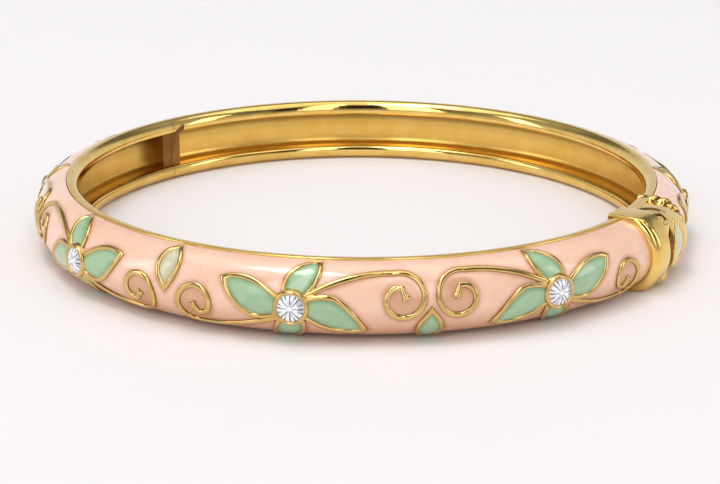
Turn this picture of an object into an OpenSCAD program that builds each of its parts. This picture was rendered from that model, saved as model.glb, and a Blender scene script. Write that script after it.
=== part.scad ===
// Hinged enamel bangle, closed, lying on its side. Two gilt sections, hollow at the back, meet at a
// collar hinge and at a plain seam. Flowers, leaves and scrolls are raised gold lines with enamel
// between them, and each flower holds a round stone.
//
// The origin is on the bangle's axis, halfway up the band, and the front is -Y.
// An angle along the band starts at the front and grows towards +X.
// An angle round the dome starts at its crown and grows upwards.

/* [Band] */
// Inside diameter
inner_d = 60; // [58:1:64]
// Height from the bottom rim to the top rim
band_h = 7.2; // [7.1:0.05:7.4]
// Thickness from the inside to the enamel's crown
band_t = 4.6; // [4.5:0.05:4.8]
// Width of the flat gold rims
rim_w = 1.4; // [1.3:0.05:1.5]
// Height of each lip on the inside
lip_h = 1.3; // [1.2:0.05:1.4]
// Depth of the hollow back below the lips
hollow_depth = 2.45; // [2.2:0.05:2.5]

/* [Enamel and gold lines] */
// Depth of the recess that the enamel fills
enamel_t = 0.45; // [0.4:0.01:0.5]
// Width of the gold lines
line_w = 0.42; // [0.36:0.02:0.46]
// Height of the gold lines above the enamel
line_rise = 0.25; // [0.15:0.05:0.3]
// Gap between gold and enamel
fit_gap = 0.04; // [0.03:0.01:0.05]

/* [Flowers] */
// Angle of the first flower along the band
first_flower = 31.8; // [31:0.2:32.2]
// Angle from one flower to the next
flower_step = 42.3; // [42:0.1:42.5]
// Angle of the first flower on the rear section
rear_flower = 88; // [87.5:0.5:90]
// Diameter of the round stones
stone_d = 2.5; // [2.3:0.05:2.6]
// Wall of the bezels
bezel_wall = 0.22; // [0.18:0.02:0.26]

/* [Collar and hinge] */
// Angle of the hinge pin along the band
hinge_at = 60; // [59.6:0.2:60.4]
// Distance of the pin's axis from the inside of the band
pin_in = 3.9; // [3.8:0.05:4]
// Diameter of the pin
pin_d = 1; // [0.9:0.05:1.05]
// How far the rear section opens, in degrees
open_angle = 40; // [30:1:42]
// Angle of the seam along the band
seam_at = -132; // [-133:0.5:-131]

/* [Hidden] */
$fn = 96;
inner_r = inner_d / 2;
half_h = band_h / 2;
far = 60;

// The enamel's round face, and the floor that it lies on
dome_r = half_h - 0.15;
dome_c = inner_r + band_t - dome_r;
floor_r = dome_r - enamel_t;
// Millimetres that one degree spans on the enamel, along the band and round the dome
along_mm = PI / 180 * (dome_c + dome_r);
round_mm = PI / 180 * dome_r;

// The gold lines and the petals stand on the enamel: heights over it, and how near to a rim they may come
line_foot = 0.06;
petal_foot = 0.03;
petal_top = 0.13;
line_z = half_h - 0.05;
line_round = 84.5;

// Collar: the flange and its round edges, the medallion block with its low panel, and the notched ring.
// Below and inside they stay just within the band, each by its own step.
collar_step = 0.03;
collar_top = half_h + 0.2;
flange_r = dome_r + 1.05;
flange_w = 3;
flange_front = 0.9;
flange_back = 0.35;
flange_at = hinge_at - flange_w / 2 / along_mm;
block_r = dome_r + 0.75;
block_end = hinge_at + 8.7;
ring_r = dome_r + 0.6;
ring_w = 1.5;
ring_at = hinge_at + 9.6;
ring_top = half_h + 0.2;
block_top = half_h + 0.04;
ring_notches = 9;
notch_pitch = 22;
notch_r = 0.3;
panel_in = 3.8;
panel_r = 2.3;
panel_t = 0.12;
medallion_at = hinge_at + 4;
medallion_l = 5.2;
medallion_w = 3.1;
medallion_t = 0.45;

// Hinge
pin_c = inner_r + pin_in;
pin_h = half_h - 0.25;
bore_d = pin_d + 0.08;
knuckle_r = 1.05;
knuckle_end = half_h - 0.7;
knuckle_half = 1;
knuckle_gap = 0.1;
face_gap = 0.06;
wedge = open_angle / 2 + 1.5;

// Seam
seam_gap = 0.15;
plate_t = 1.45;
end_frame = 0.8;
tongue_in = 1.2;
tongue_t = 0.8;
tongue_h = 2.2;
tongue_root = 1.05;
tongue_reach = 1.1;
tongue_fit = 0.12;
slot_spare = 0.15;

// Both sections run from just beside the seam to past the hinge, where they are trimmed
seam_half = seam_gap / 2 / along_mm;
front_from = seam_at + seam_half;
rear_to = seam_at + 360 - seam_half;
past_hinge = 3;

// Flowers: [number, angle, 1 or -1 if mirrored, 1 on the front section, 1 with a narrow scroll too]
FLOWERS = [
    for (i = [0:3]) [i + 1, first_flower - i * flower_step, i % 2 == 0 ? -1 : 1, 1, 1],
    for (i = [0:3]) [i + 5, rear_flower + i * flower_step, i % 2 == 0 ? 1 : -1, 0, i % 3 == 0 ? 0 : 1]];
// Leaves hang from the top rim and buds stand on the bottom rim: [name, angle, 1 on the front section]
LEAVES = [
    ["leaf_1", first_flower - 1.5 * flower_step, 1], ["leaf_2", first_flower - 3.5 * flower_step, 1],
    ["leaf_3", rear_flower + 1.5 * flower_step, 0]];
BUDS = [
    ["bud_1", first_flower - 0.5 * flower_step, 1], ["bud_2", first_flower - 2.5 * flower_step, 1],
    ["bud_3", rear_flower + 0.5 * flower_step, 0], ["bud_4", rear_flower + 2.5 * flower_step, 0]];

// Outlines in millimetres: [distance from the foot, edge on the clockwise side, edge on the other side]
SIDE_PETAL = [[0.7, 0.2, 0.75], [1.9, 0.52, 1.65], [3.2, 0.84, 2.08], [4.5, 0.95, 1.8], [5.7, 0.76, 1.15],
    [6.5, 0.4, 0.5], [6.95, 0, 0]];
TOP_PETAL = [[0.7, 0.45, 1.1], [1.5, 0.72, 1.5], [2.4, 0.94, 1.58], [3.2, 0.98, 1.32], [4.1, 0.84, 0.86],
    [4.8, 0.46, 0.4], [5.25, 0, 0]];
LEAF = [[0, 0, 0], [0.5, 0.4, 0.42], [1.2, 0.84, 0.9], [2.1, 1.08, 1.18], [3, 0.95, 1.05],
    [3.8, 0.5, 0.6], [4.5, 0, 0]];
// Petals of a flower: [direction, outline]
PETALS = [[159.3, SIDE_PETAL], [65.6, TOP_PETAL], [-20.7, SIDE_PETAL], [256, TOP_PETAL]];
// A leaf grows upwards from its lower tip
leaf_foot = 0.2;

// Scrolls in millimetres from the flower: [stem's foot, two pull points, spiral's centre, first radius,
// last radius, first angle, angle turned, how the radius shrinks]
WIDE_SCROLL = [[1.3, 1.15], [3.4, 2.35], [6.5, 3.6], [10, 1.15], 2.45, 0.5, 105, 470, 1.15];
NARROW_SCROLL = [[-1.25, -1.1], [-3.8, -1.9], [-6, -3], [-9.3, -0.7], 2.25, 0.5, -85, 440, 1.3];
stem_steps = 5;
spiral_steps = 17;

function petal_name(f, p) = str("flower_", f[0], "_petal_", p);
function stone_name(f) = str("flower_", f[0], "_stone");

// A motif is [angle along the band, 1 or -1 if mirrored, 1 or -1 if upside down]
function motif_of(f) = [f[1], f[2], 1];
function leaf_motif(l) = [l[1], 1, 1];
function bud_motif(b) = [b[1], 1, -1];

// A point at an angle along the band, an angle round the dome and a height above the enamel
function dome_point(along, round, h) =
    let (r = dome_c + (dome_r + h) * cos(round))
    [r * sin(along), -r * cos(along), (dome_r + h) * sin(round)];

// A point drawn flat, in millimetres from a motif's centre, wrapped round the band and kept off the rims
function wrapped(motif, q, h) =
    let (round = max(-line_round, min(line_round, motif[2] * q.y / round_mm)),
         p = dome_point(motif[0] + motif[1] * q.x / along_mm, round, h))
    [p.x, p.y, max(-line_z, min(line_z, p.z))];

function turned_by(q, a) = [q.x * cos(a) - q.y * sin(a), q.x * sin(a) + q.y * cos(a)];

// The two edges of a petal, from its foot to its tip
function petal_edge(table, direction, foot, side) =
    [for (row = table) foot + turned_by([row[0], side == 1 ? -row[1] : row[2]], direction)];

// Its outline: out along the clockwise edge and back along the other one
function petal_path(table, direction, foot) =
    let (out = petal_edge(table, direction, foot, 1), back = petal_edge(table, direction, foot, 2))
    concat(out, [for (i = [len(table) - 2:-1:out[0] == back[0] ? 1 : 0]) back[i]]);

function bezier(p, t) =
    p[0] * pow(1 - t, 3) + p[1] * 3 * t * pow(1 - t, 2) + p[2] * 3 * t * t * (1 - t) + p[3] * pow(t, 3);

function spiral_point(s, u) =
    let (r = s[4] - (s[4] - s[5]) * pow(u, s[8]), a = s[6] - s[7] * u)
    s[3] + r * [cos(a), sin(a)];

function scroll_path(s) =
    let (stem = [s[0], s[1], s[2], spiral_point(s, 0)])
    [for (i = [0:stem_steps - 1]) bezier(stem, i / stem_steps),
     for (i = [0:spiral_steps]) spiral_point(s, i / spiral_steps)];

// Sideways direction at a point of a path, lengthened where the path turns sharply
function unit(v) = v / norm(v);
function side_at(path, i, closed) =
    let (n = len(path),
         before = closed ? (i + n - 1) % n : max(i - 1, 0),
         after = closed ? (i + 1) % n : min(i + 1, n - 1),
         a = unit(path[before == i ? after : i] - path[before]),
         b = unit(path[after] - path[after == i ? before : i]),
         t = unit(a + b))
    [-t.y, t.x] / max(0.6, a * t);

function flipped(faces, flip) = [for (f = faces) flip ? [for (k = [len(f) - 1:-1:0]) f[k]] : f];

// A gold line along a path: a bar between two heights over the enamel, narrower at the top
module line_along(motif, path, closed = false) {
    n = len(path);
    w = line_w / 2;
    section = [[-w, line_foot], [w, line_foot], [0.6 * w, line_rise], [-0.6 * w, line_rise]];
    points = [for (i = [0:n - 1], s = section)
        wrapped(motif, path[i] + side_at(path, i, closed) * s[0], s[1])];
    walls = [for (i = [0:closed ? n - 1 : n - 2], k = [0:3])
        let (a = 4 * i, b = 4 * ((i + 1) % n), m = (k + 1) % 4)
        each [[a + k, a + m, b + m], [a + k, b + m, b + k]]];
    ends = closed ? [] : [[3, 2, 1, 0], [for (k = [0:3]) 4 * n - 4 + k]];
    polyhedron(points, flipped(concat(walls, ends), motif[1] * motif[2] > 0));
}

// A wall-sided block over a petal, with its edges moved in by a margin
module petal_block(motif, table, direction, foot, margin) {
    path = petal_path(table, direction, foot);
    pointed = table[0][1] == 0;
    n = len(path);
    last = len(table) - 1;
    flat = [for (i = [0:n - 1]) path[i] + side_at(path, i, pointed) * margin];
    // The point across from each row's first one
    across = [for (i = [0:last]) i == last || (pointed && i == 0) ? i : pointed ? n - i : n - 1 - i];
    top = [for (i = [0:last - 1]) let (a = i, b = i + 1, c = across[i + 1], d = across[i])
        each [if (b != c) [a, b, c], if (a != d || b == c) b == c ? [a, b, d] : [a, c, d]]];
    points = [for (h = [1, -1], q = flat)
        dome_point(motif[0] + motif[1] * q.x / along_mm, motif[2] * q.y / round_mm, h)];
    faces = concat(top, [for (f = top) [f[2] + n, f[1] + n, f[0] + n]],
        [for (i = [0:n - 1]) let (j = (i + 1) % n) each [[i, i + n, j + n], [i, j + n, j]]]);
    polyhedron(points, flipped(faces, motif[1] * motif[2] > 0));
}

// Stands something on the band, with its own X outwards and its own Y along the band
module along_band(angle, r) {
    rotate([0, 0, angle - 90]) translate([r, 0, 0]) children();
}

// Stands something on the dome's crown, with its own Z outwards
module on_crown(angle) {
    along_band(angle, dome_c) rotate([0, 90, 0]) children();
}

// Turns a section drawn as [distance from the axis, height] along the band
module band_sweep(from, to) {
    rotate([0, 0, from - 90]) rotate_extrude(angle = to - from) children();
}

// A disc across the band, turned from a section drawn as [distance from the core, place along it]
module cross_disc(angle) {
    along_band(angle, dome_c) rotate([-90, 0, 0]) rotate_extrude() children();
}

// The section of a round solid from some way outside the wrist hollow, cut level below and above
module round_section(r, low, high, step = 0) {
    intersection() {
        translate([dome_c, 0]) circle(r);
        translate([inner_r + step, low]) square([2 * r, high - low]);
    }
}

// What lies between two levels and some way outside the wrist hollow
module collar_zone(step, high) {
    low = step - half_h;
    difference() {
        translate([-far, -far, low]) cube([2 * far, 2 * far, high - low]);
        translate([0, 0, -far]) cylinder(r = inner_r + step, h = 2 * far);
    }
}

// The casting's solid section: two rims, two lips and the floor that carries the enamel
module casting_section() {
    round_section(floor_r, -half_h, half_h, lip_h / 2);
    for (side = [-1, 1]) {
        translate([inner_r + lip_h / 2, side * (half_h - lip_h / 2)]) circle(lip_h / 2);
        translate([inner_r + lip_h / 2, side * (half_h - lip_h / 2) - lip_h / 2])
            square([rim_w - lip_h / 2, lip_h]);
    }
}

// The hollow at the back, between the lips
module hollow_section() {
    hollow_r = half_h - lip_h;
    translate([inner_r + hollow_depth - hollow_r, 0]) circle(hollow_r);
    translate([inner_r - 1, -hollow_r]) square([1 + hollow_depth - hollow_r, 2 * hollow_r]);
}

module bezel(f) {
    on_crown(f[1]) translate([0, 0, floor_r - 0.6])
        cylinder(r = stone_d / 2 + bezel_wall, h = enamel_t + 1);
}

// The round mouth and the cone that a stone sits in
module stone_seat(f) {
    seat_r = stone_d / 2 + fit_gap;
    on_crown(f[1]) {
        translate([0, 0, dome_r + 0.1]) cylinder(r = seat_r, h = 2);
        translate([0, 0, dome_r - 0.9]) cylinder(r1 = 0.2, r2 = seat_r, h = 1.01);
    }
}

module stone(f) {
    girdle_r = stone_d / 2;
    color("white") on_crown(f[1]) translate([0, 0, dome_r + 0.15]) hull() {
        translate([0, 0, 0.4]) rotate([0, 0, 22.5]) cylinder(r = 0.58 * girdle_r, h = 0.01, $fn = 8);
        cylinder(r = girdle_r, h = 0.06, $fn = 16);
        translate([0, 0, -0.8]) cylinder(r = 0.06, h = 0.01, $fn = 4);
    }
}

// The collar's flange: a thick ring across the band, with its front edge rounded in a few steps
module flange_section(grow) {
    r = flange_r + grow;
    w = flange_w / 2 + grow;
    polygon([
        [0, -w],
        for (a = [0:22.5:90]) [r - flange_front * (1 - sin(a)), flange_front * (1 - cos(a)) - w],
        [r, w - flange_back], [r - flange_back, w], [0, w]]);
}

module flange(grow = 0) {
    intersection() {
        cross_disc(flange_at) flange_section(grow);
        collar_zone(collar_step - grow, collar_top + grow);
    }
}

// The notched ring behind the medallion block
module ring_section(grow) {
    w = ring_w + 2 * grow;
    translate([0, -w / 2]) square([ring_r + grow - w / 2, w]);
    translate([ring_r + grow - w / 2, 0]) circle(w / 2);
}

module ring(grow = 0) {
    difference() {
        intersection() {
            cross_disc(ring_at) ring_section(grow);
            collar_zone(2 * collar_step - grow, ring_top + grow);
        }
        if (grow == 0)
            for (i = [0:ring_notches - 1])
                along_band(ring_at, dome_c) rotate([0, (i - (ring_notches - 1) / 2) * notch_pitch, 0])
                    translate([ring_r, 0, 0]) rotate([90, 0, 0])
                        cylinder(r = notch_r, h = 2 * ring_w, center = true);
    }
}

// A pointed oval that stands through the block's crown
module marquise(grow) {
    l = medallion_l / 2;
    w = medallion_w / 2;
    r = (l * l + w * w) / (2 * w);
    on_crown(medallion_at) intersection() {
        translate([0, r - w, 0]) cylinder(r = r + grow, h = 2 * block_r);
        translate([0, w - r, 0]) cylinder(r = r + grow, h = 2 * block_r);
    }
}

module block() {
    difference() {
        band_sweep(hinge_at - past_hinge, block_end)
            round_section(block_r, collar_step - half_h, block_top, collar_step);
        difference() {
            marquise(0);
            band_sweep(hinge_at - past_hinge, block_end) translate([dome_c, 0]) circle(block_r - medallion_t);
        }
        // The round panel beside the hinge, a little lower than the rest of the top
        along_band(hinge_at, inner_r + panel_in) translate([0, 0, block_top - panel_t])
            cylinder(r = panel_r, h = 1);
    }
}

module medallion_enamel() {
    color("honeydew") intersection() {
        marquise(-fit_gap);
        band_sweep(hinge_at, block_end) difference() {
            translate([dome_c, 0]) circle(block_r - 0.06);
            translate([dome_c, 0]) circle(block_r - medallion_t + fit_gap);
        }
    }
}

// Everything past the hinge, seen from above: a straight cut inside the pin and a slanting one outside it
module past_hinge_cut(side) {
    slant = tan(wedge) * far / 4;
    along_band(hinge_at, pin_c) linear_extrude(height = far, center = true)
        polygon([[-far / 4, side * face_gap], [0, side * face_gap], [far / 4, side * (face_gap + slant)],
            [far / 4, -side * far / 4], [-far / 4, -side * far / 4]]);
}

// A round length about the pin, at two levels
module round_pin(r, low, high) {
    along_band(hinge_at, pin_c) translate([0, 0, low]) cylinder(r = r, h = high - low);
}

// Knuckles keep inside the collar's round form
module knuckle(low, high) {
    difference() {
        intersection() {
            round_pin(knuckle_r, low, high);
            band_sweep(hinge_at - past_hinge, hinge_at + past_hinge)
                round_section(block_r, -half_h, half_h);
        }
        round_pin(bore_d / 2, -far, far);
    }
}

// The tongue and its slots follow a circle about the pin, so that they part freely
function flat_point(angle, r) = [r * sin(angle), -r * cos(angle)];
tongue_way = flat_point(seam_at, inner_r + tongue_in) - flat_point(hinge_at, pin_c);
tongue_r = norm(tongue_way);
tongue_angle = atan2(tongue_way.y, tongue_way.x);

module tongue_bar(grow, front, back) {
    mm = 180 / PI / tongue_r;
    translate(flat_point(hinge_at, pin_c)) rotate([0, 0, tongue_angle - back * mm])
        rotate_extrude(angle = (front + back) * mm)
            translate([tongue_r, 0]) square([tongue_t + 2 * grow, tongue_h + 2 * grow], center = true);
}

module section_casting(from, to, hollow_from, hollow_to, frame_from, is_front) {
    difference() {
        union() {
            band_sweep(from, to) casting_section();
            band_sweep(frame_from, frame_from + end_frame / along_mm)
                round_section(dome_r, -half_h, half_h);
            for (f = FLOWERS) if (f[3] == is_front) bezel(f);
        }
        band_sweep(hollow_from, hollow_to) hollow_section();
        for (f = FLOWERS) if (f[3] == is_front) stone_seat(f);
    }
}

// Trims what is drawn at the hinge, and clears it round the other section's knuckles
module front_trim() {
    gap = knuckle_half + knuckle_gap;
    difference() {
        children();
        past_hinge_cut(-1);
        round_pin(knuckle_r + knuckle_gap, -gap, gap);
    }
}

module rear_trim() {
    difference() {
        children();
        past_hinge_cut(1);
        round_pin(knuckle_r + knuckle_gap, knuckle_half, far);
        round_pin(knuckle_r + knuckle_gap, -far, -knuckle_half);
    }
}

module front_casting() {
    color("gold") difference() {
        union() {
            front_trim() section_casting(front_from, hinge_at + past_hinge,
                front_from + plate_t / along_mm, hinge_at - 8, front_from, 1);
            front_trim() flange();
            knuckle(knuckle_half + knuckle_gap, knuckle_end);
            knuckle(-knuckle_end, -knuckle_half - knuckle_gap);
        }
        round_pin(pin_d / 2 + 0.02, -far, far);
        tongue_bar(0.03, tongue_root + slot_spare, 1);
    }
}

module rear_casting() {
    color("gold") difference() {
        union() {
            rear_trim() section_casting(hinge_at - past_hinge, rear_to, ring_at + 2.5,
                rear_to - plate_t / along_mm, rear_to - end_frame / along_mm, 0);
            rear_trim() {
                block();
                ring();
            }
            knuckle(-knuckle_half, knuckle_half);
        }
        round_pin(bore_d / 2, -far, far);
        tongue_bar(tongue_fit, 1, tongue_reach + slot_spare);
    }
}

module hinge_pin() {
    color("gold") along_band(hinge_at, pin_c) {
        translate([0, 0, -pin_h]) cylinder(d = pin_d, h = 2 * pin_h - 0.2);
        translate([0, 0, pin_h - 0.2]) cylinder(d1 = pin_d, d2 = pin_d - 0.3, h = 0.2);
    }
}

module clasp_tongue() {
    color("gold") tongue_bar(0, tongue_root, tongue_reach);
}

module bezel_hole(f) {
    on_crown(f[1]) cylinder(r = stone_d / 2 + bezel_wall + fit_gap, h = 3 * dome_r);
}

// The rounded drops at both ends of a scroll
module scroll_drops(f, s) {
    for (u = [0, 1]) {
        q = u == 0 ? s[0] : spiral_point(s, 1);
        along_band(f[1] + f[2] * q.x / along_mm, dome_c) rotate([0, -q.y / round_mm, 0])
            hull() for (h = [line_foot, line_rise])
                translate([dome_r + h, 0, 0]) rotate([0, 90, 0])
                    cylinder(r = (h == line_foot ? 0.75 : 0.5) * line_w, h = 0.01, $fn = 8);
    }
}

module gold_lines(is_front) {
    leaf = petal_path(LEAF, 90, [0, leaf_foot]);
    color("gold") difference() {
        union() {
            for (f = FLOWERS) if (f[3] == is_front) {
                for (p = PETALS) line_along(motif_of(f), petal_path(p[1], p[0], [0, 0]));
                for (s = f[4] == 1 ? [WIDE_SCROLL, NARROW_SCROLL] : [WIDE_SCROLL]) {
                    line_along(motif_of(f), scroll_path(s));
                    scroll_drops(f, s);
                }
            }
            for (l = LEAVES) if (l[2] == is_front) line_along(leaf_motif(l), leaf, true);
            for (b = BUDS) if (b[2] == is_front) line_along(bud_motif(b), leaf, true);
        }
        for (f = FLOWERS) if (f[3] == is_front) bezel_hole(f, $fn = 32);
    }
}

// A skin over the dome between two radii of its section, kept off the rims
module skin_section(low, high) {
    intersection() {
        difference() {
            translate([dome_c, 0]) circle(high);
            translate([dome_c, 0]) circle(low);
        }
        translate([inner_r + rim_w + fit_gap, -line_z]) square([band_t, 2 * line_z]);
    }
}

module peach_enamel(is_front, from, to) {
    color("peachpuff") difference() {
        band_sweep(from, to) skin_section(floor_r + fit_gap, dome_r);
        for (f = FLOWERS) if (f[3] == is_front) bezel_hole(f);
        children();
    }
}

module petal_fill(motif, table, direction, foot) {
    intersection() {
        band_sweep(motif[0] - 14, motif[0] + 14) skin_section(dome_r + petal_foot, dome_r + petal_top);
        petal_block(motif, table, direction, foot, line_w / 2 + fit_gap);
    }
}

module petal(f, p) {
    color("mediumaquamarine") difference() {
        petal_fill(motif_of(f), PETALS[p - 1][1], PETALS[p - 1][0], [0, 0]);
        bezel_hole(f);
    }
}

module leaf_fill(motif, tint) {
    color(tint) petal_fill(motif, LEAF, 90, [0, leaf_foot]);
}

front_casting();
gold_lines(1);  // front_gold_lines
peach_enamel(1, front_from + (end_frame + fit_gap) / along_mm, hinge_at - 3) flange(fit_gap);  // front_peach_enamel
hinge_pin();
clasp_tongue();
rear_casting();
gold_lines(0);  // rear_gold_lines
peach_enamel(0, ring_at, rear_to - (end_frame + fit_gap) / along_mm) ring(fit_gap);  // rear_peach_enamel
medallion_enamel();
for (f = FLOWERS, p = [1:4])
    petal(f, p);
for (f = FLOWERS)
    stone(f);
for (l = LEAVES)
    leaf_fill(leaf_motif(l), "honeydew");
for (b = BUDS)
    leaf_fill(bud_motif(b), "mediumaquamarine");
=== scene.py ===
"""Hinged gilt bangle with peach enamel, mint flowers, pale leaves and gold scrolls.

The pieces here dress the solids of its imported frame.
Lengths are millimetres, in the frame of the part: the origin on the bangle's axis, halfway up the band,
+Z upwards and the front at -Y. An angle along the band starts at the front and grows towards +X.
An angle round the dome starts at its crown and grows upwards.
"""

import math

import bmesh
import bpy
import numpy as np
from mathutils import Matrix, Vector, kdtree


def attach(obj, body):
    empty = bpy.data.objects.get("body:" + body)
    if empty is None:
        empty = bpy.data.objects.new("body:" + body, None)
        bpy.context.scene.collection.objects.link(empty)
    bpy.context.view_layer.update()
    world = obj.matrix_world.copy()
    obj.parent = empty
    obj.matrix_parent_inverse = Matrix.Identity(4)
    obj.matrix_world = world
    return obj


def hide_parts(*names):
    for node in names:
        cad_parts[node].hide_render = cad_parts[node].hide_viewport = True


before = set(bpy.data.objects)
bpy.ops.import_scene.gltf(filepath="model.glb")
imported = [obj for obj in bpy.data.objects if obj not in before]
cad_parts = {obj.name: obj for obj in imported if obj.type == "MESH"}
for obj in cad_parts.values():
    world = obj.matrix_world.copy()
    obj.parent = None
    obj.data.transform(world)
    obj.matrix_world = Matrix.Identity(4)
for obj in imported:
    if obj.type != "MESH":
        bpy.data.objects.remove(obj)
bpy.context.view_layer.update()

MM = 0.001

# Band
INNER_R = 30.0
HALF_H = 3.6
# The lips begin where the rims' flats end and run inwards in arcs: radius, first and last angle
LIP_START = 30.963
LIP_ARCS = [(0.75, 90, 57), (1.25, 57, 12), (0.6, 12, -65)]
# How much the band's top rises at the front
FRONT_RISE = 0.15
RIM_R = 31.4
RIM_EDGE = 0.07
RIM_FLAT = 0.35
RIM_FOOT = 3.3
# The dome of the enamel, and the metal bed under it
DOME_C = 31.15
DOME_R = 3.45
BED_R = 3.0
HOLLOW_C = 30.4
HOLLOW_DEPTH = 2.05
HOLLOW_HALF = 2.0
# How round the hollow's corners are: 0 is square, 1 is a half circle
HOLLOW_BEND = 0.35
# How far from the axis the solid ends stop, between the lips
PLATE_R = 30.58
# Millimetres to a degree, along the band and round the dome
ALONG = math.radians(DOME_C + DOME_R)
ROUND = math.radians(DOME_R)
# How far round the dome the enamel reaches, in degrees
ENAMEL_EDGE = 84.6
# The seam's place, half its gap, how thick its end plates are and how wide the frames before it
SEAM = -132.0
SEAM_HALF = 0.035 / ALONG
PLATE = 1.45 / ALONG
END_FRAME = 0.8 / ALONG
# The painted shade patch beside the seam, dark gold on the lip with no cut in it: furthest from the axis,
# lowest, highest at the seam, how long
SHADE_PATCH_R, SHADE_PATCH_LOW, SHADE_PATCH_HIGH, SHADE_PATCH_LONG = 30.8, 2.05, 2.2, 1.9

# Collar and hinge
HINGE = 60.0
# Where the front section's casting and enamel end, and from where its end is solid
FRONT_END = HINGE - 3
ENAMEL_END = HINGE - 4.6
FRONT_SOLID = HINGE - 8
PIN_C = 33.9
PIN_HOLE_R = 0.53
KNUCKLE_R = 1.05
POCKET_R = 1.15
# Half the height of the rear section's knuckle, and where the front section's begin and end past it
REAR_KNUCKLE = 1.0
FRONT_KNUCKLE, KNUCKLE_END = 1.1, 2.9
# A height well past the band's rims
CLEAR = 6
# Outside the pin the hinge faces open by this slope
WEDGE = math.tan(math.radians(21.5))
FACE_GAP = 0.06
COLLAR_FOOT = -HALF_H + 0.03
COLLAR_IN = INNER_R + 0.03
FLANGE_W = 3.5
FLANGE = HINGE - FLANGE_W / 2 / ALONG
FLANGE_R = 4.5
FLANGE_IN = 29.9
FLANGE_TOP = 3.94
FLANGE_ROUND = 0.9
BLOCK_R = 4.28
BLOCK_TOP = 3.64
# How sharp the block's shoulders are
SHOULDER = 10
BLOCK_END = HINGE + 8.7
# The round low panel on the block's top
PANEL_C = 33.8
PANEL_R = 2.3
PANEL_T = 0.12
RING = HINGE + 9.6
RING_R = 4.2
RING_TOP = 3.88
RING_HALF = 0.75
RING_FOOT = -HALF_H + 0.06
RING_IN = INNER_R + 0.06
# Up to where the rear section's end is solid
REAR_SOLID = RING + 2.5
# The ring's notches: how far apart, how deep, how slanted, and how far up they are painted dark as shade
ROPE_PITCH, ROPE_DEPTH, ROPE_SLANT, ROPE_SHADE = 1.3, 0.28, 0.45, 0.42
MEDALLION = HINGE + 4.0
# The pointed oval's half width and half height, and the radius of the two bows that make it
MEDALLION_W, MEDALLION_H = 1.55, 2.6
MEDALLION_BOW = (MEDALLION_H * MEDALLION_H + MEDALLION_W * MEDALLION_W) / (2 * MEDALLION_W)

# Lines, petals and stones
LINE_HALF = 0.245
LINE_TOP = 0.25
STONE_R = 1.33
# How far a stone's girdle is from the bangle's axis
GIRDLE = DOME_C + DOME_R + 0.15
# The enamel of petals and leaves: height over the ground in its middle, at its edge and underneath
FILL_TOP, FILL_EDGE, FILL_UNDER = 0.15, 0.08, -0.1
# What sinks below a stone: the radius where it is all down, the radius where it begins, how far down
ENAMEL_SEAT = (1.15, 1.45, 1.3)
BAND_SEAT = (0.9, 1.3, 0.7)
# How far up, and how far round the dome, a line may reach
LINE_Z = 3.55
LINE_ROUND = 84.5
# Towards the rims the lines are lowered: from how far round the dome, over how many degrees, by what share
LOW_FROM, LOW_OVER, LOW_BY = 62.0, 14.0, 0.5
# Where the cosine of the angle along the band is below this, at the back, the lines are lowered more
BEHIND = -0.05
REAR_FROM, REAR_BY = 46, 0.95

# Petals and leaves: distance from the foot, half width to the left and to the right
SIDE_PETAL = [(0.7, 0.2, 0.75), (1.9, 0.52, 1.65), (3.2, 0.84, 2.08), (4.5, 0.95, 1.8), (5.7, 0.76, 1.15),
              (6.5, 0.4, 0.5), (6.95, 0, 0)]
TOP_PETAL = [(0.7, 0.45, 1.1), (1.5, 0.72, 1.5), (2.4, 0.94, 1.58), (3.2, 0.98, 1.32), (4.1, 0.84, 0.86),
             (4.8, 0.46, 0.4), (5.25, 0, 0)]
LEAF = [(0, 0, 0), (0.5, 0.4, 0.42), (1.2, 0.84, 0.9), (2.1, 1.08, 1.18), (3, 0.95, 1.05), (3.8, 0.5, 0.6),
        (4.5, 0, 0)]
# Each flower's petals: direction and shape
PETALS = [(163, SIDE_PETAL), (65.6, TOP_PETAL), (-18.3, SIDE_PETAL), (256, TOP_PETAL)]
LEAF_FOOT = 0.2

# Scrolls: stem's foot, two pull points, spiral's centre, first and last radius, first angle, angle turned,
# and how the radius shrinks
WIDE_SCROLL = ((1.3, 1.1), (3.4, 2.25), (6.5, 3.4), (10, 0.9), 2.45, 0.5, 105, 470, 1.15)
NARROW_SCROLL = ((-1.25, -1.1), (-3.8, -1.9), (-6, -3), (-9.3, -0.7), 2.25, 0.5, -85, 440, 1.3)
BOTH_SCROLLS = (WIDE_SCROLL, NARROW_SCROLL)
# The share of a spiral that is drawn, and how far the hook at its end turns back
SPIRAL_STOP = 0.81
HOOK_TURN = -62

# Flowers: number, angle, mirrored or not, on the front section or not, scrolls
FLOWER_STEP = 42.3
FLOWERS = [(n + 1, 31.8 - FLOWER_STEP * n, -1 if n % 2 == 0 else 1, True, BOTH_SCROLLS) for n in range(4)]
FLOWERS += [(n + 5, 88 + FLOWER_STEP * n, 1 if n % 2 == 0 else -1, False,
             (WIDE_SCROLL,) if n % 3 == 0 else BOTH_SCROLLS) for n in range(4)]
# Leaves and buds: name, angle, 1 in the upper or -1 in the lower half, on the front section or not
LEAVES = [("leaf_1", -31.65, 1, True), ("leaf_2", -116.25, 1, True), ("leaf_3", 151.45, 1, False)]
BUDS = [("bud_1", 10.65, -1, True), ("bud_2", -73.95, -1, True), ("bud_3", 109.15, -1, False),
        ("bud_4", 193.75, -1, False)]

# The bezel's section, from outside to inside: distance from the stone's axis, height over the dome's centre
BEZEL = [(1.72, 2.55), (1.7, 3.35), (1.68, 3.6), (1.62, 3.75), (1.54, 3.83), (1.46, 3.86), (1.38, 3.84),
         (1.32, 3.77), (1.29, 3.68), (1.28, 3.5), (1.28, 2.7)]
# How many of its steps are plain gold, before the inside painted dark as shade
BEZEL_PLAIN = 8
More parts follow.
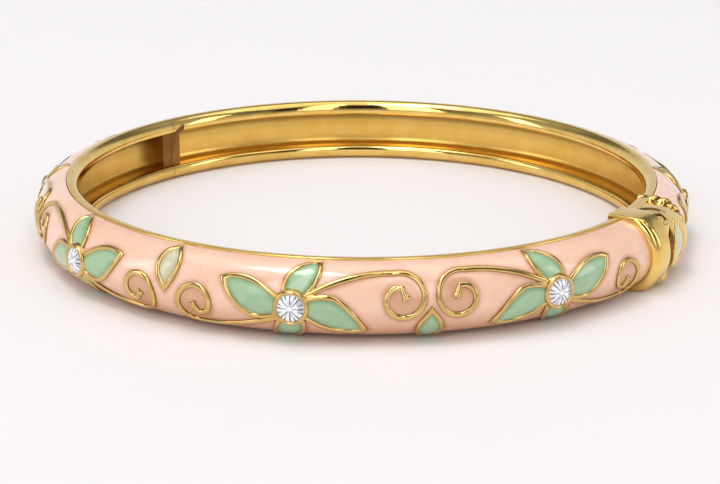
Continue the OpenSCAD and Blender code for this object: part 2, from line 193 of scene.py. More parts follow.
# The rings where a stone's facets meet, from its middle outwards: share of its radius, height over its
# girdle, half width of the even and of the odd spokes in degrees
CROWN = [(0.16, 0.4, 7.0, 7.0), (0.58, 0.4, 3.2, 1.6), (0.93, 0.17, 3.6, 3.4)]
SPOKES = 16


# Finishes

class Wire:
    """A value that runs through a finish. Sums on it add Math nodes."""

    def __init__(self, finish, socket):
        self.finish = finish
        self.socket = socket

    def math(self, operation, first, second):
        return self.finish.node("ShaderNodeMath", {"operation": operation}, {0: first, 1: second})

    def __add__(self, other):
        return self.math("ADD", self, other)

    def __sub__(self, other):
        return self.math("SUBTRACT", self, other)

    def __rsub__(self, other):
        return self.math("SUBTRACT", other, self)

    def __mul__(self, other):
        return self.math("MULTIPLY", self, other)

    __radd__ = __add__
    __rmul__ = __mul__


class Mixture:
    """A node tree under construction"""

    def __init__(self, owner):
        owner.use_nodes = True
        self.tree = owner.node_tree
        self.tree.nodes.clear()

    def node(self, kind, settings=None, sockets=None, out=0):
        made = self.tree.nodes.new(kind)
        for name, value in (settings or {}).items():
            if name == "stops":
                for i, (at, shade) in enumerate(value):
                    stop = made.color_ramp.elements[i] if i < 2 else made.color_ramp.elements.new(at)
                    stop.position = at
                    stop.color = (*shade, 1) if isinstance(shade, tuple) else (shade, shade, shade, 1)
            else:
                setattr(made, name, value)
        for key, value in (sockets or {}).items():
            if isinstance(value, Wire):
                self.tree.links.new(value.socket, made.inputs[key])
            else:
                made.inputs[key].default_value = (*value, 1) if isinstance(value, tuple) and \
                    made.inputs[key].type == "RGBA" else value
        return None if out is None else Wire(self, made.outputs[out])

    def ramp(self, value, stops):
        return self.node("ShaderNodeValToRGB", {"stops": stops}, {0: value})

    def mix(self, share, first, second):
        return self.node("ShaderNodeMix", {"data_type": "RGBA"}, {0: share, 6: first, 7: second}, 2)

    def finish(self, shader, kind):
        self.node(kind, None, {"Surface": shader}, None)


class Finish(Mixture):
    """A material. Its coordinates are the object's own, in millimetres."""

    def __init__(self, name):
        self.material = bpy.data.materials.new(name)
        super().__init__(self.material)
        place = self.node("ShaderNodeTexCoord", out="Object")
        self.place = self.node("ShaderNodeVectorMath", {"operation": "SCALE"}, {0: place, "Scale": 1 / MM})

    def mottle(self, scale, detail, distortion=0.0):
        """Soft spots, so many to a millimetre"""
        return self.node("ShaderNodeTexNoise", None,
                         {"Vector": self.place, "Scale": scale, "Detail": detail, "Distortion": distortion})

    def attribute(self, name):
        return self.node("ShaderNodeAttribute", {"attribute_name": name}, out="Fac")

    def bump(self, height, depth, strength):
        """Relief of so many millimetres"""
        return self.node("ShaderNodeBump", None,
                         {"Height": height, "Strength": strength, "Distance": depth * MM})

    def surface(self, **sockets):
        sockets = {name.replace("_", " "): value for name, value in sockets.items()}
        self.finish(self.node("ShaderNodeBsdfPrincipled", None, sockets), "ShaderNodeOutputMaterial")
        return self.material


# Brown for the gold: painted shade in the hollow, and tarnish with painted shade where the lines meet the
# enamel
TARNISH_AND_SHADE_BROWN = (0.16, 0.07, 0.015)


def gilt(name, light, deep, gloss, worn, grain):
    """Gold plate: soft colour drift, worn spots and a slightly uneven surface, brown where 'depth' says,
    which is painted shade and, at the lines' feet, partly tarnish
    """
    finish = Finish(name)
    drift = finish.ramp(finish.mottle(0.45, 2), [(0.35, 0.0), (0.65, 1.0)])
    colour = finish.mix(finish.attribute("depth"), finish.mix(drift, deep, light), TARNISH_AND_SHADE_BROWN)
    spots = finish.ramp(finish.mottle(5.0, 5), [(0.45, 0.0), (0.75, 1.0)])
    roughness = gloss + worn * spots
    waves = finish.mottle(0.9, 2) + grain * finish.mottle(9.0, 3)
    return finish.surface(Base_Color=colour, Metallic=1.0, Roughness=roughness,
                          Normal=finish.bump(waves, 0.02, 0.5))


def enamel(name, pale, full, deep):
    """Glossy enamel over a cloudy body. The attribute 'depth' makes it deeper with painted shade beside the
    gold, and on the peach also painted shade low down and a painted reflection inside the spirals.
    """
    finish = Finish(name)
    cloud = finish.ramp(finish.mottle(0.5, 4, 0.6), [(0.3, 0.0), (0.7, 1.0)])
    body = finish.mix(cloud, full, pale)
    flecks = finish.ramp(finish.mottle(3.0, 3), [(0.55, 0.0), (0.8, 1.0)])
    body = finish.mix(flecks * 0.25, body, pale)
    colour = finish.mix(finish.attribute("depth"), body, deep)
    waves = finish.mottle(0.7, 2) + 0.1 * finish.mottle(4.0, 2)
    return finish.surface(Base_Color=colour, Roughness=0.1 + 0.08 * finish.mottle(1.3, 3), Coat_Weight=0.6,
                          Coat_Roughness=0.04, IOR=1.5, Normal=finish.bump(waves, 0.05, 0.6))


def crystal(name, light, deep):
    """One tone of the foiled stones, a painted reflection: the stones' sparkle is painted as white, pale,
    grey and dark facets
    """
    finish = Finish(name)
    shade = finish.mix(finish.ramp(finish.mottle(2.5, 2), [(0.35, 0.0), (0.7, 1.0)]), deep, light)
    return finish.surface(Base_Color=shade, Roughness=0.12 + 0.05 * finish.mottle(3.0, 2), Coat_Weight=0.5,
                          Coat_Roughness=0.02, IOR=1.55)


def pale_floor():
    finish = Finish("pale_floor")
    shade = finish.mix(finish.mottle(0.05, 2), (0.88, 0.845, 0.835), (0.89, 0.855, 0.845))
    return finish.surface(Base_Color=shade, Roughness=0.6 + 0.1 * finish.mottle(0.5, 2))


GOLD = gilt("polished_gold", (0.91, 0.65, 0.22), (0.84, 0.55, 0.14), 0.07, 0.06, 0.03)
# Gold darkened as painted shade: the seam's end plates, the hinge gaps, the rope's notches, the bezels'
# insides and a patch beside the seam
SHADE_GOLD = gilt("painted_shade_gold", (0.30, 0.15, 0.04), (0.20, 0.09, 0.02), 0.3, 0.15, 0.03)
SATIN_GOLD = gilt("satin_gold", (0.88, 0.58, 0.16), (0.83, 0.51, 0.11), 0.32, 0.05, 0.0)
LINE_GOLD = gilt("line_gold", (0.77, 0.53, 0.22), (0.64, 0.42, 0.14), 0.1, 0.08, 0.03)
# A face's ink picks its finish in a piece's list, and the first one is 0
# Ink 1 paints shade with the darkened gold, ink 2 is satin gold
SHADE_INK, SATIN_INK = 1, 2
# Each enamel's last colour is the painted shade that 'depth' mixes in
PEACH = enamel("peach_enamel", (0.93, 0.61, 0.46), (0.89, 0.53, 0.38), (0.58, 0.24, 0.09))
MINT = enamel("mint_enamel", (0.39, 0.55, 0.34), (0.30, 0.48, 0.27), (0.16, 0.30, 0.12))
PALE = enamel("pale_enamel", (0.70, 0.62, 0.42), (0.54, 0.55, 0.36), (0.40, 0.35, 0.19))
# The stones' painted reflections: one glass in white, pale, grey and dark tones
CRYSTAL_REFLECTIONS = [crystal("white_reflection_crystal", (0.98, 0.98, 1.0), (0.93, 0.94, 0.98)),
            crystal("pale_reflection_crystal", (0.90, 0.91, 0.95), (0.76, 0.78, 0.83)),
            crystal("grey_reflection_crystal", (0.68, 0.70, 0.76), (0.50, 0.53, 0.60)),
            crystal("dark_reflection_crystal", (0.13, 0.14, 0.17), (0.05, 0.055, 0.07))]
FLOOR = pale_floor()


# Making meshes

def seated(points, inner, outer, sink):
    """Points sunk out of the way of the stones, inside a radius about each flower's middle"""
    points = points.copy()
    for number, angle, *_ in FLOWERS:
        out, way = out_at(np.array(angle)), along_at(np.array(angle))
        near = np.hypot(points @ way, points[:, 2])
        near[points @ out < DOME_C + 2.0] = outer
        points -= sink * np.clip((outer - near) / (outer - inner), 0, 1)[:, None] * out
    return points


def joined(parts):
    """Parts as one table of points, with the faces' point numbers and inks"""
    points, faces, inks, start = [], [], [], 0
    for part in parts:
        points.append(part[0])
        faces += [[i + start for i in face] for face in part[1]]
        ink = part[2] if len(part) > 2 else 0
        inks += ink if isinstance(ink, list) else [ink] * len(part[1])
        start += len(part[0])
    return np.concatenate(points), faces, inks


def mesh_of(name, points, faces):
    mesh = bpy.data.meshes.new(name)
    mesh.from_pydata((np.asarray(points) * MM).tolist(), [], faces)
    work = bmesh.new()
    work.from_mesh(mesh)
    bmesh.ops.recalc_face_normals(work, faces=work.faces)
    work.to_mesh(mesh)
    work.free()
    return mesh


def piece(name, parts, body, finishes, stands_for, sharp=38, depth=None):
    """One piece of the bangle from parts of points and faces, and inks where a part has its own"""
    points, faces, inks = joined(parts)
    mesh = mesh_of(name, points, faces)
    for finish in finishes:
        mesh.materials.append(finish)
    mesh.polygons.foreach_set("material_index", inks)
    mesh.shade_smooth()
    mesh.set_sharp_from_angle(angle=math.radians(sharp))
    # 'depth' holds painted shade for the finishes to mix in, a painted reflection inside the peach spirals,
    # and partly tarnish at the lines' feet
    if depth is not None:
        shades = mesh.attributes.new("depth", "FLOAT", "POINT").data
        shades.foreach_set("value", depth(points).astype(np.float32))
    made = bpy.data.objects.new(name, mesh)
    bpy.context.scene.collection.objects.link(made)
    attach(made, body)
    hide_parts(*stands_for)
    return made


def skin(rows, looped=False):
    """A closed skin over a table of points [station, place round the section]"""
    rows = np.asarray(rows)
    stations, count = rows.shape[:2]
    index = np.arange(stations * count).reshape(stations, count)
    if looped:
        index = np.concatenate([index, index[:1]])
    beside = np.roll(index, -1, axis=1)
    faces = np.stack([index[:-1], index[1:], beside[1:], beside[:-1]], -1).reshape(-1, 4).tolist()
    if not looped:
        faces += [index[0].tolist(), index[-1][::-1].tolist()]
    return rows.reshape(-1, 3), faces


def cut(part, cutters):
    """A part with closed cutters taken out of it"""
    def stand(part):
        made = bpy.data.objects.new("cut", mesh_of("cut", part[0], part[1]))
        bpy.context.scene.collection.objects.link(made)
        return made
    body = stand(part)
    tools = [stand(c) for c in cutters]
    for tool in tools:
        step = body.modifiers.new("cut", "BOOLEAN")
        step.operation, step.solver, step.object = "DIFFERENCE", "EXACT", tool
    bpy.context.view_layer.update()
    result = body.evaluated_get(bpy.context.evaluated_depsgraph_get()).to_mesh()
    points = np.array([v.co for v in result.vertices]) / MM
    faces = [list(f.vertices) for f in result.polygons]
    for made in [body, *tools]:
        bpy.data.objects.remove(made)
    return points, faces


def middles_of(points, faces):
    return np.array([points[face].mean(axis=0) for face in faces])


def out_at(angle):
    """The way straight out of the bangle at an angle along the band"""
    a = np.radians(angle)
    return np.stack([np.sin(a), -np.cos(a), np.zeros_like(a)], -1)


def along_at(angle):
    """The way along the band at an angle"""
    a = np.radians(angle)
    return np.stack([np.cos(a), np.sin(a), np.zeros_like(a)], -1)


def on_band(angle, r, z):
    """Points at angles along the band, at distances from the axis and at heights"""
    angle, r, z = np.broadcast_arrays(np.asarray(angle, float), r, z)
    # The upper half rises a little at the front
    z = z + FRONT_RISE * (0.5 + 0.5 * np.cos(np.radians(angle))) * np.clip(z / DOME_R, 0, 1)**2
    return out_at(angle) * r[..., None] + np.stack([0 * z, 0 * z, z], -1)


def on_dome(along, around, height):
    """Points over the enamel, at angles along the band and round the dome"""
    around = np.radians(around)
    return on_band(along, DOME_C + (DOME_R + height) * np.cos(around), (DOME_R + height) * np.sin(around))


def wrapped(motif, flat, height):
    """Points drawn flat, in millimetres from a motif's middle, wrapped round the band.

    A motif is its angle along the band, 1 or -1 for mirrored, and 1 or -1 for upside down.
    """
    angle, mirror, upright = motif
    around = np.clip(upright * flat[..., 1] / ROUND, -LINE_ROUND, LINE_ROUND)
    along = angle + mirror * flat[..., 0] / ALONG
    behind = np.cos(np.radians(along)) < BEHIND
    share = np.clip((np.abs(around) - np.where(behind, REAR_FROM, LOW_FROM)) / LOW_OVER, 0, 1)
    low_by = np.where(behind, REAR_BY, LOW_BY)
    height = np.asarray(height, float)
    height = np.where(height > 0, height * (1 - low_by * share * share * (3 - 2 * share)), height)
    points = on_dome(along, around, height)
    points[..., 2] = np.clip(points[..., 2], -LINE_Z, LINE_Z)
    return points


def arc(centre, r, start, end, count):
    """Points on an arc, with its angles in degrees"""
    a = np.radians(np.linspace(start, end, count))
    return [(centre[0] + r * math.cos(t), centre[1] + r * math.sin(t)) for t in a]


def sweep(section, angles):
    """A section drawn as (distance from the axis, height), turned along the band"""
    section = np.array(section)
    return skin(on_band(np.asarray(angles, float)[:, None], section[None, :, 0], section[None, :, 1]))


def smooth(points, step):
    """A smooth line through points, cut into equal steps"""
    points = np.asarray(points, float)
    lengths = np.concatenate([[0], np.cumsum(np.linalg.norm(np.diff(points, axis=0), axis=1))])
    slopes = np.gradient(points, lengths, axis=0, edge_order=2 if len(points) > 2 else 1)
    at = np.linspace(0, lengths[-1], max(3, int(round(lengths[-1] / step)) + 1))
    k = np.clip(np.searchsorted(lengths, at, side="right") - 1, 0, len(points) - 2)
    span = lengths[k + 1] - lengths[k]
    t = ((at - lengths[k]) / span)[:, None]
    span = span[:, None]
    return ((2 * t**3 - 3 * t**2 + 1) * points[k] + (t**3 - 2 * t**2 + t) * span * slopes[k]
            + (3 * t**2 - 2 * t**3) * points[k + 1] + (t**3 - t**2) * span * slopes[k + 1])


def turned(points, angle):
    """Flat points turned about the origin"""
    a = math.radians(angle)
    return np.asarray(points, float) @ np.array([[math.cos(a), math.sin(a)], [-math.sin(a), math.cos(a)]])


# Outlines and gold lines

def petal_edges(table, direction, foot):
    """Both edges of a petal, from its foot to its tip, smooth"""
    rows = np.array(table, float)
    edges = []
    for across in (-rows[:, 1], rows[:, 2]):
        edges.append(foot + turned(smooth(np.stack([rows[:, 0], across], -1), 0.18), direction))
    return edges


def outline(edges, closed):
    """A petal's two edges as one path, from its foot round its tip and back"""
    out, back = edges
    return np.concatenate([out, back[-2:0 if closed else None:-1]])


def spiral_point(scroll, share):
    """Where a spiral is after a share of its turn"""
    centre, first, last, angle, turn, shrink = scroll[3:]
    r = first - (first - last) * share**shrink
    a = np.radians(angle - turn * share)
    return np.array(centre) + np.stack([r * np.cos(a), r * np.sin(a)], -1)


def scroll_path(scroll):
    """A scroll's stem and spiral, up to the sharp turn at its inner end"""
    start = np.array([scroll[0], scroll[1], scroll[2], spiral_point(scroll, np.array(0.0))])
    t = np.linspace(0, 1, 30)[:-1, None]
    stem = (start[0] * (1 - t)**3 + start[1] * 3 * t * (1 - t)**2 + start[2] * 3 * t * t * (1 - t)
            + start[3] * t**3)
    return smooth(np.concatenate([stem, spiral_point(scroll, np.linspace(0, SPIRAL_STOP, 100))]), 0.16)


def sideways(path, closed, limit=0.45):
    """The direction across a path at each of its points, lengthened at corners"""
    if closed:
        before, after = np.roll(path, 1, axis=0), np.roll(path, -1, axis=0)
    else:
        before = np.concatenate([path[:1] * 2 - path[1:2], path[:-1]])
        after = np.concatenate([path[1:], path[-1:] * 2 - path[-2:-1]])
    a = path - before
    b = after - path
    a /= np.linalg.norm(a, axis=1, keepdims=True)
    b /= np.linalg.norm(b, axis=1, keepdims=True)
    t = a + b
    t /= np.linalg.norm(t, axis=1, keepdims=True)
    return np.stack([-t[:, 1], t[:, 0]], -1) / np.maximum(limit, (a * t).sum(1))[:, None]


# The gold lines' section: share of the half width, height over the enamel
BEAD = [(-1.03, -0.12)] + [(math.sin(t), 0.01 + (LINE_TOP - 0.01) * math.cos(t)**0.8)
                           for t in np.radians(np.linspace(-88, 88, 13))] + [(1.03, -0.12)]
# Where the rounding of a line's open end has its three points
END_ROUND = (0.5, 1.0, 1.4)


def bead(motif, path, widths=1.0, closed=False):
    """A rounded gold line along a flat path; open ends are rounded off"""
    path = np.asarray(path, float)
    widths = np.broadcast_to(np.asarray(widths, float), (len(path),)).copy()
    side = sideways(path, closed)
    rise = np.ones(len(path))
    if not closed:
        for end, step in ((0, 1), (-1, -1)):
            way = path[end] - path[end + step]
            way = way / np.linalg.norm(way)
            tips = [path[end] + way * LINE_HALF * widths[end] * math.sin(t) for t in END_ROUND]
            thin = [widths[end] * math.cos(t) for t in END_ROUND]
            low = [0.6 + 0.4 * math.cos(t) for t in END_ROUND]
            longer = ((path, tips), (widths, thin), (rise, low), (side, [side[end]] * len(END_ROUND)))
            if step == 1:
                path, widths, rise, side = (np.concatenate([new[::-1], old]) for old, new in longer)
            else:
                path, widths, rise, side = (np.concatenate([old, new]) for old, new in longer)
    rows = []
    for share, height in BEAD:
        flat = path + side * (share * LINE_HALF * widths)[:, None]
        lift = np.where(height > 0, height * rise, height)
        rows.append(wrapped(motif, flat, lift))
    return skin(np.stack(rows, 1), looped=closed)


def fill(motif, edges):
    """Enamel between two edges, slightly domed, its rim tucked under the gold line"""
    count = min(len(edges[0]), len(edges[1]), 60)
    pick = [np.linspace(0, len(e) - 1, count) for e in edges]
    left, right = (np.stack([np.interp(p, np.arange(len(e)), e[:, i]) for i in (0, 1)], -1)
                   for p, e in zip(pick, edges))
    keep = np.linalg.norm(left - right, axis=1) > 0.25
    left, right = left[keep], right[keep]
    v = np.linspace(-1, 1, 9)
    share = (v + 1)[None, :, None] / 2
    flat = left[:, None] * (1 - share) + right[:, None] * share
    width = np.linalg.norm(left - right, axis=1)[:, None]
    dome = (1 - v**2)[None] * np.minimum(1, width / 1.6)
    upper = wrapped(motif, flat, FILL_EDGE + (FILL_TOP - FILL_EDGE) * dome)
    lower = wrapped(motif, flat[:, ::-1][:, ::2], FILL_UNDER)
    points, faces = skin(np.concatenate([upper, lower], 1))
    return seated(points, *ENAMEL_SEAT), faces


# The band

def lip(side):
    """A rounded lip, from the rim's flat to the hollow (upper), or back again (lower)"""
    r, z = LIP_START, HALF_H
    turn = [(r, z)]
    for radius, first, last in LIP_ARCS:
        a = np.radians(np.linspace(first, last, 10))
        outwards = r - radius * (np.cos(a) - np.cos(a[0]))
        upwards = z + radius * (np.sin(a) - np.sin(a[0]))
        turn += list(zip(outwards, upwards))[1:]
        r, z = turn[-1]
    return turn if side > 0 else [(r, -z) for r, z in turn[::-1]]


def rim(side):
    """The rim's outer wall and its softened edge"""
    edge = arc((RIM_R - RIM_EDGE, HALF_H - RIM_EDGE), RIM_EDGE, 0, 90, 5)
    wall = [(RIM_R, RIM_FOOT)] + edge + [(RIM_R - RIM_FLAT, HALF_H)]
    return wall if side > 0 else [(r, -z) for r, z in wall[::-1]]


def hollow_line(grow):
    """The hollow's wall from its upper to its lower edge: a nearly straight back with well rounded corners"""
    a = np.radians(np.linspace(76, -76, 37))
    out = (HOLLOW_DEPTH + grow) * np.cos(a)**HOLLOW_BEND
    up = (HOLLOW_HALF + grow) * np.sign(np.sin(a)) * np.abs(np.sin(a))**HOLLOW_BEND
    return list(zip(HOLLOW_C + out, up))


def casting_section():
    """The section of the band, and from where to where it is the hollow"""
    bed = arc((DOME_C, 0), BED_R, -84, 84, 21)
    hollow = hollow_line(0)
    before = bed + rim(1) + lip(1)
    return before + hollow + lip(-1) + rim(-1), (len(before), len(before) + len(hollow) - 1)


def plug_section():
    """What fills the hollow between the lips where the casting is solid"""
    wall = hollow_line(0.06)[::-1]
    return wall + [(PLATE_R, HOLLOW_HALF * z) for z in np.linspace(1, -1, 15)]


def frame_section():
    """The gold frame where the enamel stops beside the seam"""
    return arc((DOME_C, 0), DOME_R + 0.02, -ENAMEL_EDGE, ENAMEL_EDGE, 41) + \
        [(DOME_C, z) for z in np.linspace(BED_R, -BED_R, 7)]


def stations(start, end, step=0.6):
    return np.linspace(start, end, int(abs(end - start) / step) + 2)


def in_shade_patch(middles):
    """Which faces lie in the painted shade patch on the rear section's upper lip beside the seam"""
    r, z = np.hypot(middles[:, 0], middles[:, 1]), middles[:, 2]
    from_seam = (SEAM + 360 - np.degrees(np.arctan2(middles[:, 0], -middles[:, 1])) % 360) * ALONG
    low_part = (z > SHADE_PATCH_LOW) & (z < SHADE_PATCH_HIGH + 0.5 * from_seam)
    return (r < SHADE_PATCH_R) & low_part & (from_seam > 0) & (from_seam < SHADE_PATCH_LONG)


def band(start, end, plugs, frame_at):
    """A run of the casting with a solid end at the seam and one at the collar, and its end frame"""
    section, hollow = casting_section()
    points, faces = sweep(section, stations(start, end))
    satin = [hollow[0] <= i % len(section) < hollow[1] for i in range(len(faces) - 2)] + [False, False]
    # Faces of the patch beside the seam are painted dark as shade
    inks = np.where(in_shade_patch(middles_of(points, faces)), SHADE_INK, np.where(satin, SATIN_INK, 0))
    parts = [(seated(points, *BAND_SEAT), faces, inks.tolist())]
    parts += [(*sweep(plug_section(), stations(a, b)), ink) for a, b, ink in plugs]
    parts.append(sweep(frame_section(), stations(frame_at, frame_at + END_FRAME)))
    return parts


def enamel_section():
    return arc((DOME_C, 0), DOME_R, -ENAMEL_EDGE, ENAMEL_EDGE, 61) + \
        arc((DOME_C, 0), BED_R - 0.02, ENAMEL_EDGE, -ENAMEL_EDGE, 13)


# The collar

LOOP = np.radians(np.arange(0, 360, 1.0))
# The softened edge beside a hinge face: distance from the face, how much lower
EDGE = [(0.0, 0.25), (0.04, 0.15), (0.1, 0.08), (0.2, 0.02), (0.3, 0.0)]
FACE_RINGS = (0.95, 0.8, 0.6, 0.4, 0.2, 0.02)


def collar_loop(r, low, high, inner, corner=30):
    """A round section cut level above and below and straight inside, with softened corners"""
    c, s = np.cos(LOOP), np.sin(LOOP)
    tiny = 1e-6
    limits = [np.full_like(LOOP, r), np.where(s > tiny, high / np.maximum(s, tiny), 1e6),
              np.where(s < -tiny, low / np.minimum(s, -tiny), 1e6),
              np.where(c < -tiny, (DOME_C - inner) / np.maximum(-c, tiny), 1e6)]
    reach = sum((x / DOME_R)**-corner for x in limits)**(-1 / corner) * DOME_R
    return reach


def loop_points(reach):
    return DOME_C + reach * np.cos(LOOP), reach * np.sin(LOOP)


def across_band(angle, r, z, along):
    """Points of a plane across the band at an angle, moved along the band by a distance"""
    return out_at(angle) * r[:, None] + along_at(angle) * along[:, None] + np.stack([0 * z, 0 * z, z], -1)


def front_cut(x):
    """Where the front section's hinge face lies, across the flange's plane, at a distance from the axis"""
    turn = math.radians(HINGE - FLANGE)
    c, s = math.cos(turn), math.sin(turn)
    inside = (x * s - FACE_GAP) / c
    outside = (x * s - FACE_GAP - WEDGE * (x * c - PIN_C)) / (c + WEDGE * s)
    return np.minimum(inside, outside)


def rear_cut(r):
    """The rear section's hinge face, as an angle past the hinge"""
    inside = np.arcsin(FACE_GAP / r)
    outside = math.atan(WEDGE) + np.arcsin((FACE_GAP - WEDGE * PIN_C) / (r * math.sqrt(1 + WEDGE**2)))
    return np.degrees(np.maximum(inside, outside))


def flange():
    """The thick front ring of the collar, round at its front edge and cut to the hinge face at its back"""
    half = FLANGE_W / 2
    rows = []
    # The front edge is well rounded outside and nearly sharp on top
    flat = np.clip((np.abs(np.sin(LOOP)) - 0.8) / 0.15, 0, 1)
    for a in np.radians(np.linspace(0, 90, 13)):
        drop = FLANGE_ROUND * (1 - math.sin(a))
        reach = collar_loop(FLANGE_R - drop, COLLAR_FOOT, FLANGE_TOP - 0.12 * drop, FLANGE_IN)
        r, z = loop_points(reach)
        rows.append((r, z, (FLANGE_ROUND - 0.65 * flat) * (1 - math.cos(a)) - half))
    for share in (0.3, 0.6):
        r, z = loop_points(collar_loop(FLANGE_R, COLLAR_FOOT, FLANGE_TOP, FLANGE_IN))
        end = front_cut(r) - 0.3
        rows.append((r, z, (1 - share) * (FLANGE_ROUND - half) + share * end))
    for inset, drop in EDGE[::-1]:
        reach = collar_loop(FLANGE_R - drop, COLLAR_FOOT + 0.4 * drop, FLANGE_TOP - drop, FLANGE_IN)
        r, z = loop_points(reach)
        rows.append((r, z, front_cut(r) - inset))
    for share in FACE_RINGS:
        r, z = loop_points(reach * share)
        rows.append((r, z, front_cut(r)))
    return skin(np.array([across_band(FLANGE, *row) for row in rows]))


def in_medallion(across, up):
    """How far inside the pointed oval a place on the block lies"""
    return MEDALLION_BOW - np.hypot(np.abs(across) + MEDALLION_BOW - MEDALLION_W, up)


def block():
    """The medallion block, cut to the hinge face at its front, with a low panel on its top"""
    rows = []
    last = collar_loop(BLOCK_R - 0.25, COLLAR_FOOT + 0.1, BLOCK_TOP - 0.15, COLLAR_IN, SHOULDER)
    for share in FACE_RINGS[::-1]:
        r, z = loop_points(last * share)
        rows.append((HINGE + rear_cut(r), r, z))
    for inset, drop in EDGE:
        reach = collar_loop(BLOCK_R - drop, COLLAR_FOOT + 0.4 * drop, BLOCK_TOP - 0.6 * drop, COLLAR_IN,
                            SHOULDER)
        r, z = loop_points(reach)
        rows.append((HINGE + rear_cut(r) + inset / ALONG, r, z))
    base = collar_loop(BLOCK_R, COLLAR_FOOT, BLOCK_TOP, COLLAR_IN, SHOULDER)
    panel = on_band(np.array(HINGE), PANEL_C, BLOCK_TOP)
    for share in np.linspace(0, 1, 64)[1:]:
        r, z = loop_points(base)
        first = HINGE + rear_cut(r) + 0.3 / ALONG
        angle = first + share * (BLOCK_END - first)
        up = BLOCK_R * np.arctan2(z, r - DOME_C)
        sunk = np.clip(in_medallion((angle - MEDALLION) * ALONG, up) / 0.12, 0, 1) * (r > DOME_C)
        # Towards the ring the upper outer shoulder falls away a little
        fall = 0.35 * share**2 * np.clip((np.sin(LOOP) - 0.35) / 0.3, 0, 1) * (np.cos(LOOP) > 0.1)
        r, z = loop_points(base - 0.12 * sunk - fall)
        away = np.linalg.norm(on_band(angle, r, z) - panel, axis=1)
        z = np.where(z > BLOCK_TOP - 0.3, z - PANEL_T * np.clip((PANEL_R - away) / 0.1, 0, 1), z)
        rows.append((angle, r, z))
    return skin(np.array([on_band(*row) for row in rows]))


def ring():
    """The rope ring behind the block: slanting notches round a ring of half-round section, their hollows
    painted dark as shade
    """
    base = collar_loop(RING_R, RING_FOOT, RING_TOP, RING_IN)
    r, z = loop_points(base)
    steps = np.hypot(np.diff(r, append=r[:1]), np.diff(z, append=z[:1]))
    run = np.cumsum(steps) - steps
    turns = round(steps.sum() / ROPE_PITCH)
    rows, inks = [], []
    for a in np.radians(np.linspace(-88, 88, 17)):
        across = RING_HALF * math.sin(a)
        lobe = np.abs(np.sin(math.pi * (run / steps.sum() * turns + ROPE_SLANT * across)))
        inks += np.where(lobe < ROPE_SHADE, SHADE_INK, 0).tolist()
        drop = RING_HALF * (1 - math.cos(a)) + ROPE_DEPTH * (1 - lobe**0.7)
        r, z = loop_points(np.maximum(base - drop, 0.5))
        rows.append((np.maximum(r, RING_IN), np.maximum(z, RING_FOOT), np.full_like(r, across)))
    points, faces = skin(np.array([across_band(RING, *row) for row in rows]))
    return points, faces, inks[:len(faces) - 2] + [0, 0]


def painted_hinge_shade(part):
    """Painted shade on the hinge faces, round the knuckles, along the split, along the low panel's edge and
    on the block's face beside the split
    """
    points, faces = part
    middles = middles_of(points, faces)
    across, along = middles @ out_at(HINGE), middles @ along_at(HINGE)
    inside = np.hypot(across - DOME_C, middles[:, 2]) < BLOCK_R - 0.35
    open_by = WEDGE * np.maximum(0, across - PIN_C)
    split = np.abs(along) < 0.1 + open_by
    knuckles = np.hypot(across - PIN_C, along) < POCKET_R + 0.02
    panel = np.linalg.norm(middles - on_band(np.array(HINGE), PANEL_C, BLOCK_TOP), axis=1)
    groove = (np.abs(panel - PANEL_R) < 0.12) & (along > 0.3) & (middles[:, 2] > BLOCK_TOP - 0.4)
    edge = (along > 0) & (along < 0.32 + open_by) & (middles[:, 2] > -2) & (middles[:, 2] < 3.3)
    dark = inside & (split | knuckles) | groove | edge & (across > DOME_C + 1)
    return points, faces, np.where(dark, SHADE_INK, 0).tolist()


def round_about_pin(profile):
    """A solid turned about the hinge pin, from (radius, height) pairs"""
    a = np.radians(np.linspace(0, 360, 40, endpoint=False))
    centre = out_at(np.array(HINGE)) * PIN_C
    rows = [centre + np.stack([r * np.cos(a), r * np.sin(a), np.full_like(a, z)], -1) for r, z in profile]
    return skin(np.array(rows))


def knuckle(low, high, r=KNUCKLE_R):
    """A knuckle between two heights, or the pocket for one"""
    return round_about_pin([(0.02, low), (r - 0.08, low), (r, low + 0.08), (r, high - 0.08), (r - 0.08, high),
                            (0.02, high)])


def pin_hole():
    return round_about_pin([(0.02, -CLEAR), (PIN_HOLE_R, -CLEAR), (PIN_HOLE_R, CLEAR), (0.02, CLEAR)])


# Flowers, leaves and scrolls

def stone_ring(angle, r, out, turns):
    """Points round a stone's axis, at a distance from the bangle's"""
    a = np.radians(turns)
    up, way = np.array([0, 0, 1.0]), along_at(angle)
    return on_band(angle, out, 0.0) + np.cos(a)[:, None] * r * up + np.sin(a)[:, None] * r * way


def bezel(angle):
    """The smooth gold cup round a stone, its inside painted dark as shade"""
    turns = np.linspace(0, 360, 64, endpoint=False)
    points, faces = skin(np.array([stone_ring(angle, r, DOME_C + height, turns) for r, height in BEZEL]))
    # The cup is open, so its two end faces make way for a skin between its first and last ring
    count = len(turns)
    faces = faces[:-2]
    first, last = np.arange(count), np.arange(count) + (len(BEZEL) - 1) * count
    faces += np.stack([first, np.roll(first, -1), np.roll(last, -1), last], -1).tolist()
    return points, faces, [0 if i < BEZEL_PLAIN * count else SHADE_INK for i in range(len(faces))]


